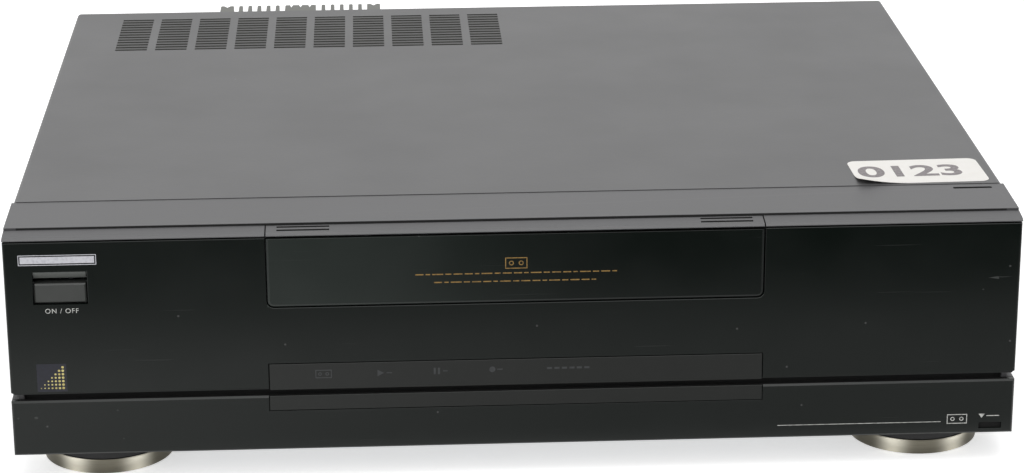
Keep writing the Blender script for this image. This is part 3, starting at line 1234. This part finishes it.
def rack_outline():
    """Straight-flanked teeth along the slider's lower edge, pointing down."""
    lean = math.tan(math.radians(GEAR_PRESSURE_DEGREES))
    addendum = GEAR_MODULE
    dedendum = GEAR_MODULE * DEDENDUM_SHARE
    pitch_z = GEAR_Z + GEAR_RADIUS
    half_pitch = RACK_PITCH / 4 - GEAR_BACKLASH / 2
    half_tip = half_pitch - addendum * lean
    half_root = half_pitch + dedendum * lean
    points = []
    for index in range(RACK_TEETH):
        middle = front(GEAR_DEPTH) + (RACK_LEAD_TEETH - index) * RACK_PITCH
        points.append((middle + half_root, pitch_z + dedendum))
        points.append((middle + half_tip, pitch_z - addendum))
        points.append((middle - half_tip, pitch_z - addendum))
        points.append((middle - half_root, pitch_z + dedendum))
    top = SLIDER_BOTTOM + RACK_LAP
    return points + [(points[-1][0], top), (points[0][0], top)]


def gear_outline():
    """Involute pinion about its own axis, with a gap between teeth pointing straight up."""
    pressure = math.radians(GEAR_PRESSURE_DEGREES)
    base = GEAR_RADIUS * math.cos(pressure)
    root = GEAR_RADIUS - GEAR_MODULE * DEDENDUM_SHARE
    tip = GEAR_RADIUS + GEAR_MODULE
    half_tooth = math.pi / (2 * GEAR_TEETH) - GEAR_BACKLASH / (2 * GEAR_RADIUS)
    start = max(base, root)
    flank = []
    for index in range(FLANK_STEPS + 1):
        radius = start + (tip - start) * index / FLANK_STEPS
        roll = math.acos(min(1.0, base / radius))
        flank.append((radius, half_tooth + math.tan(pressure) - pressure - math.tan(roll) + roll))
    flank.insert(0, (root, flank[0][1]))
    points = []
    for tooth in range(GEAR_TEETH):
        middle = math.pi / 2 + (2 * tooth + 1) * math.pi / GEAR_TEETH
        for radius, angle in flank:
            points.append((radius * math.cos(middle - angle), radius * math.sin(middle - angle)))
        for radius, angle in reversed(flank):
            points.append((radius * math.cos(middle + angle), radius * math.sin(middle + angle)))
    return points


def make_carriage_slider():
    """Channel over the holder that carries it rearwards; its right plate ends in a rack."""
    pin_low = HOLDER_PIN_Z - HOLDER_DROP
    outline = folded_channel(SLIDER_OUTER, SLIDER_BOTTOM, SLIDER_TOP, SLIDER_FOLD, SLIDER_SHEET)
    y = (front(SLIDER_FRONT), front(SLIDER_BACK))
    slider = solid("carriage_slider", prism("Y", outline, *y), "zinc_steel", (0, y[0], SLIDER_TOP))
    fuse(slider, prism("X", rack_outline(), SLIDER_INNER, SLIDER_OUTER))
    play = HOLDER_PIN_RADIUS + GAP
    for side in (-1, 1):
        ends = sorted((side * (SLIDER_INNER - SIDE_PLAY / 2), side * (SLIDER_OUTER + OVERRUN)))
        cut(slider, prism("X", stadium((slot_y() - play, slot_y() + play),
                                       (pin_low - play, HOLDER_PIN_Z + play)), *ends))
        reach = sorted((side * (SLIDER_OUTER - ROOTING), side * (BRACKET_OUTER - GAP)))
        lugs = [rod("X", (lug_y, LUG_Z), LUG_RADIUS, *reach, PIN_STEPS)
                for lug_y in (y[0] + LUG_INSET, y[1] - LUG_INSET)]
        fuse(slider, joined(lugs))
    return slider


def make_carriage_brackets():
    """Upright plates on the deck, slotted for the slider's lugs."""
    play = LUG_RADIUS + GAP
    top = SLIDER_TOP + BRACKET_TOP_GAP
    for side, side_name in ((-1, "left"), (1, "right")):
        wall = sorted((side * BRACKET_INNER, side * BRACKET_OUTER))
        plate = slab(wall, (front(BRACKET_FRONT), front(BRACKET_BACK)), (DECK_TOP + GAP, top))
        bracket = solid("carriage_bracket_" + side_name, plate, "zinc_steel")
        ends = (wall[0] - SIDE_PLAY / 2, wall[1] + SIDE_PLAY / 2)
        path = (front(SLIDER_FRONT + LUG_INSET) - play,
                front(SLIDER_BACK - LUG_INSET + CARRIAGE_TRAVEL) + play)
        cut(bracket, prism("X", stadium(path, (LUG_Z - play, LUG_Z + play)), *ends))
        if side > 0:
            cut(bracket, rod("X", (front(GEAR_DEPTH), GEAR_Z), GEAR_SHAFT_RADIUS + GAP, *ends))


def make_drive():
    """Pinion under the rack, on the shaft of a small geared motor."""
    centre = (front(GEAR_DEPTH), GEAR_Z)
    outline = [(centre[0] + u, centre[1] + v) for u, v in gear_outline()]
    gear = solid("drive_gear", prism("X", outline, SLIDER_INNER, SLIDER_OUTER), "white_plastic",
                 (SLIDER_INNER, centre[0], centre[1]))
    shaft_end = SLIDER_OUTER + GEAR_SHAFT_LENGTH
    fuse(gear, rod("X", centre, GEAR_SHAFT_RADIUS, SLIDER_OUTER - ROOTING, shaft_end))
    start = BRACKET_OUTER + GAP
    can = solid("loading_motor", rod("X", centre, MOTOR_RADIUS, start + MOTOR_NOSE, start + MOTOR_LENGTH,
                                     MEDIUM_STEPS), "zinc_steel")
    fuse(can, rod("X", centre, MOTOR_RADIUS * MOTOR_NOSE_SHARE, start, start + MOTOR_NOSE + ROOTING))
    cut(can, rod("X", centre, GEAR_SHAFT_RADIUS + GAP, start - OVERRUN, shaft_end + GAP))


# Deck

def reel_places():
    return {"supply_reel": -REEL_PITCH / 2, "takeup_reel": REEL_PITCH / 2}


def pinch_places():
    """Pivot of the pinch arm, and the roller's centre at rest, clear of the capstan."""
    capstan = Vector((CAPSTAN_SIDE, front(CAPSTAN_DEPTH)))
    closed = capstan + Vector((0, CAPSTAN_RADIUS + PINCH_RADIUS + GAP))
    pivot = closed + Vector((PINCH_PIVOT_SIDE, PINCH_PIVOT_BEHIND))
    swing = Matrix.Rotation(-math.radians(PINCH_SWING_DEGREES), 2)
    return pivot, pivot + swing @ (closed - pivot)


def make_deck_plate():
    """Deck on four legs, with spindles, tape guides and the pinch arm's post."""
    y = (front(DECK_FRONT), front(DECK_BACK))
    deck = solid("deck_plate", slab((-DECK_HALF, DECK_HALF), y, (DECK_UNDER, DECK_TOP)), "zinc_steel")
    legs = []
    for leg_x in (-DECK_HALF, DECK_HALF - DECK_LEG):
        for leg_y in (y[0], y[1] - DECK_LEG):
            legs.append(slab((leg_x, leg_x + DECK_LEG), (leg_y, leg_y + DECK_LEG),
                             (FLOOR_TOP + GAP, DECK_UNDER + ROOTING)))
    fuse(deck, joined(legs))
    hub_top = DECK_TOP + REEL_LIFT + REEL_HUB_HEIGHT
    pivot, _ = pinch_places()
    uprights = [(pivot, PINCH_POST_RADIUS - GAP, DECK_TOP + PINCH_POST_HEIGHT)]
    for x in reel_places().values():
        uprights.append(((x, front(REEL_DEPTH)), REEL_BORE_RADIUS - GAP, hub_top - SPINDLE_CROWN))
    for side in (-1, 1):
        guide = (side * GUIDE_SIDE, front(DRUM_DEPTH - GUIDE_BEFORE))
        uprights.append((guide, GUIDE_RADIUS, DECK_TOP + GUIDE_HEIGHT))
    fuse(deck, joined([rod("Z", place, radius, DECK_TOP - ROOTING, top, PIN_STEPS)
                       for place, radius, top in uprights]))
    capstan_hole = rod("Z", (CAPSTAN_SIDE, front(CAPSTAN_DEPTH)), CAPSTAN_RADIUS + DECK_HOLE_PLAY,
                       DECK_UNDER - OVERRUN, DECK_TOP + OVERRUN)
    return cut(deck, capstan_hole)


def make_reels():
    """Reel tables with splined hubs, turning on the deck's spindles."""
    low = DECK_TOP + REEL_LIFT
    bore = REEL_BORE_RADIUS
    hub = REEL_HUB_RADIUS
    crown = low + REEL_HUB_HEIGHT
    step = low + REEL_TABLE_HEIGHT
    profile = [(bore, low), (REEL_RADIUS, low), (REEL_RADIUS, step), (hub, step),
               (hub, crown - REEL_CROWN_HEIGHT), (hub * REEL_CROWN_SHARE, crown), (bore, crown)]
    for name, x in reel_places().items():
        place = (x, front(REEL_DEPTH), 0)
        reel = solid(name, shifted(turned(profile, MEDIUM_STEPS, True), place), "white_plastic", place)
        middle = Vector((x, front(REEL_DEPTH), 0))
        keys = []
        for index in range(REEL_KEYS):
            key = slab((hub - ROOTING, hub + REEL_KEY_REACH), (-REEL_KEY_WIDTH / 2, REEL_KEY_WIDTH / 2),
                       (step - ROOTING, crown - REEL_CROWN_HEIGHT * 2))
            turn = Matrix.Rotation(index * math.tau / REEL_KEYS, 3, "Z")
            bmesh.ops.rotate(key, verts=key.verts, cent=(0, 0, 0), matrix=turn)
            keys.append(shifted(key, middle))
        fuse(reel, joined(keys))


def make_drum():
    """Tilted head drum: a fixed lower half on a base, and the upper half that spins."""
    tilt = (math.radians(DRUM_TILT_DEGREES), 0, 0)
    centre = (0, front(DRUM_DEPTH), DECK_TOP + DRUM_LIFT)
    lower_profile = [(0, 0), (DRUM_RADIUS, 0), (DRUM_RADIUS, DRUM_LOWER_HEIGHT), (0, DRUM_LOWER_HEIGHT)]
    lower = solid("lower_drum", turned(lower_profile, ROUND_STEPS), "polished", centre, tilt)
    fuse(lower, rod("Z", centre[:2], DRUM_BASE_RADIUS, DECK_TOP + GAP,
                    DECK_TOP + DRUM_LIFT + DRUM_LOWER_HEIGHT / 2, MEDIUM_STEPS))
    start = DRUM_LOWER_HEIGHT + GAP
    top = start + DRUM_UPPER_HEIGHT
    cap = top + DRUM_CAP_HEIGHT
    profile = [(0, start), (DRUM_RADIUS, start), (DRUM_RADIUS, top - DRUM_EDGE),
               (DRUM_RADIUS - DRUM_EDGE, top), (DRUM_CAP_RADIUS, top), (DRUM_CAP_RADIUS, cap), (0, cap)]
    return solid("head_drum", turned(profile, ROUND_STEPS), "polished", centre, tilt)


def make_tape_heads():
    """Fixed heads on small bases, each with a rounded face towards the tape."""
    middle = front(DRUM_DEPTH - HEAD_BEFORE)
    low = DECK_TOP + GAP
    step = low + HEAD_BASE_HEIGHT
    for name, x in HEAD_SIDES.items():
        base = slab((x - HEAD_BASE_WIDTH / 2, x + HEAD_BASE_WIDTH / 2),
                    (middle - HEAD_BASE_DEPTH / 2, middle + HEAD_BASE_DEPTH / 2), (low, step))
        head = solid(name, base, "polished")
        outline = rounded((x - HEAD_WIDTH / 2, x + HEAD_WIDTH / 2),
                          (middle - HEAD_THICKNESS / 2, middle + HEAD_THICKNESS / 2), HEAD_ROUND)
        fuse(head, prism("Z", outline, step - ROOTING, step + HEAD_HEIGHT))


def make_capstan():
    """Capstan with its flywheel under the deck, over a flat motor on the chassis."""
    place = (CAPSTAN_SIDE, front(CAPSTAN_DEPTH), 0)
    wheel_top = DECK_UNDER - FLYWHEEL_DROP
    wheel_low = wheel_top - FLYWHEEL_HEIGHT
    stator_top = wheel_low - GAP
    tail = stator_top - FLYWHEEL_HEIGHT / 2
    profile = [(0, tail), (CAPSTAN_RADIUS, tail), (CAPSTAN_RADIUS, wheel_low),
               (FLYWHEEL_RADIUS, wheel_low), (FLYWHEEL_RADIUS, wheel_top), (CAPSTAN_RADIUS, wheel_top),
               (CAPSTAN_RADIUS, DECK_TOP + CAPSTAN_HEIGHT), (0, DECK_TOP + CAPSTAN_HEIGHT)]
    solid("capstan", shifted(turned(profile, MEDIUM_STEPS), place), "polished", place)
    bearing = CAPSTAN_RADIUS + GAP
    floor = FLOOR_TOP + GAP
    cup = [(0, floor), (STATOR_RADIUS, floor), (STATOR_RADIUS, stator_top), (bearing, stator_top),
           (bearing, tail - GAP), (0, tail - GAP)]
    return solid("capstan_motor", shifted(turned(cup, MEDIUM_STEPS), place), "zinc_steel", place)


def make_pinch_arm():
    """Arm that swings the rubber roller against the capstan."""
    pivot, roller = pinch_places()
    low = DECK_TOP + REEL_LIFT
    top = low + PINCH_ARM_THICKNESS
    direction = roller - pivot
    heading = math.degrees(math.atan2(direction.y, direction.x))
    outline = arc(pivot, PINCH_ARM_RADIUS, heading + 90, heading + 270, SMALL_STEPS // 2)
    outline += arc(roller, PINCH_ARM_RADIUS, heading - 90, heading + 90, SMALL_STEPS // 2)
    place = (pivot.x, pivot.y, 0)
    arm = solid("pinch_arm", prism("Z", outline, low, top), "zinc_steel", place)
    start = DECK_TOP + PINCH_LIFT
    end = start + PINCH_HEIGHT
    fuse(arm, rod("Z", roller, PINCH_BORE - GAP, top - ROOTING, end + GAP, PIN_STEPS))
    cut(arm, rod("Z", pivot, PINCH_POST_RADIUS, low - OVERRUN, top + OVERRUN))
    tyre = [(PINCH_BORE, start), (PINCH_RADIUS, start), (PINCH_RADIUS, end), (PINCH_BORE, end)]
    spot = (roller.x, roller.y, 0)
    return solid("pinch_roller", shifted(turned(tyre, MEDIUM_STEPS, True), spot), "rubber", spot)


# Boards and modules

def make_boards():
    """Main board on the right with its chips, power board on the left with its capacitors."""
    (x0, x1), (y0, y1) = main_board_plan()
    top = BOARD_Z + BOARD_THICKNESS
    main = solid("main_board", slab((x0, x1), (y0, y1), (BOARD_Z, top)), "board_green")
    chips = []
    middle = (x0 + x1) / 2
    count = int(MAIN_BOARD_LENGTH / CHIP_PITCH)
    for index in range(count):
        near = y0 + CHIP_SIZE / 2 + index * CHIP_PITCH
        chips.append(slab((middle - CHIP_SIZE / 2, middle + CHIP_SIZE / 2), (near, near + CHIP_SIZE),
                          (top - ROOTING, top + CHIP_HEIGHT)))
    fuse(main, joined(chips))
    (x0, x1), (y0, y1) = power_board_plan()
    power = solid("power_board", slab((x0, x1), (y0, y1), (BOARD_Z, top)), "board_green")
    middle = (x0 + x1) / 2
    count = int(POWER_BOARD_LENGTH / CAN_PITCH)
    first = y0 + CAN_PITCH / 2
    cans = [rod("Z", (middle, first + index * CAN_PITCH), CAN_RADIUS, top - ROOTING, top + CAN_HEIGHT)
            for index in range(count)]
    return fuse(power, joined(cans))


def make_transformer():
    """Laminated core with its winding, standing on the tray at the left."""
    centre_x = -(BAY_INNER + BAY_OUTER) / 2
    y = (front(TRANSFORMER_FRONT), front(TRANSFORMER_FRONT + TRANSFORMER_DEPTH))
    floor = FLOOR_TOP + GAP
    middle_y = (y[0] + y[1]) / 2
    core = slab((centre_x - TRANSFORMER_WIDTH / 2, centre_x + TRANSFORMER_WIDTH / 2),
                (middle_y - TRANSFORMER_STACK / 2, middle_y + TRANSFORMER_STACK / 2),
                (floor, floor + TRANSFORMER_HEIGHT))
    item = solid("transformer", core, "zinc_steel")
    reach = TRANSFORMER_WIDTH / 2 - WINDING_MARGIN
    coil = prism("Z", rounded((centre_x - reach, centre_x + reach), y, WINDING_MARGIN),
                 floor + WINDING_MARGIN, floor + TRANSFORMER_HEIGHT - WINDING_MARGIN)
    return fuse(item, coil)


def make_tuner():
    """Screened tuner, close before the aerial unit and over the main board."""
    back = PANEL_FRONT - GAP - AERIAL_LENGTH - GAP
    row = socket_row_z()
    centre = socket_centres()[-1]
    box = slab((centre - TUNER_WIDTH / 2, centre + TUNER_WIDTH / 2),
               (front(back - TUNER_LENGTH), front(back)), (row - TUNER_HEIGHT / 2, row + TUNER_HEIGHT / 2))
    bevelled(box, lambda edge: edge_at(edge, 2, row + TUNER_HEIGHT / 2), TUNER_BEVEL)
    return solid("tuner", box, "zinc_steel")


def main():
    for item in list(bpy.data.objects):
        bpy.data.objects.remove(item, do_unlink=True)
    make_top_cover()
    make_chassis_tray()
    make_rear_panel()
    make_front_frame()
    make_fascia_panel()
    make_lid_trim()
    make_cassette_lid()
    make_display()
    make_power_button()
    make_control_flap()
    make_control_panel()
    make_feet()
    make_heat_sink()
    make_scart_sockets()
    make_jack_block()
    make_aerial_block()
    make_mains_inlet()
    make_cassette_holder()
    make_carriage_slider()
    make_carriage_brackets()
    make_drive()
    make_deck_plate()
    make_reels()
    make_drum()
    make_tape_heads()
    make_capstan()
    make_pinch_arm()
    make_boards()
    make_transformer()
    make_tuner()


main()
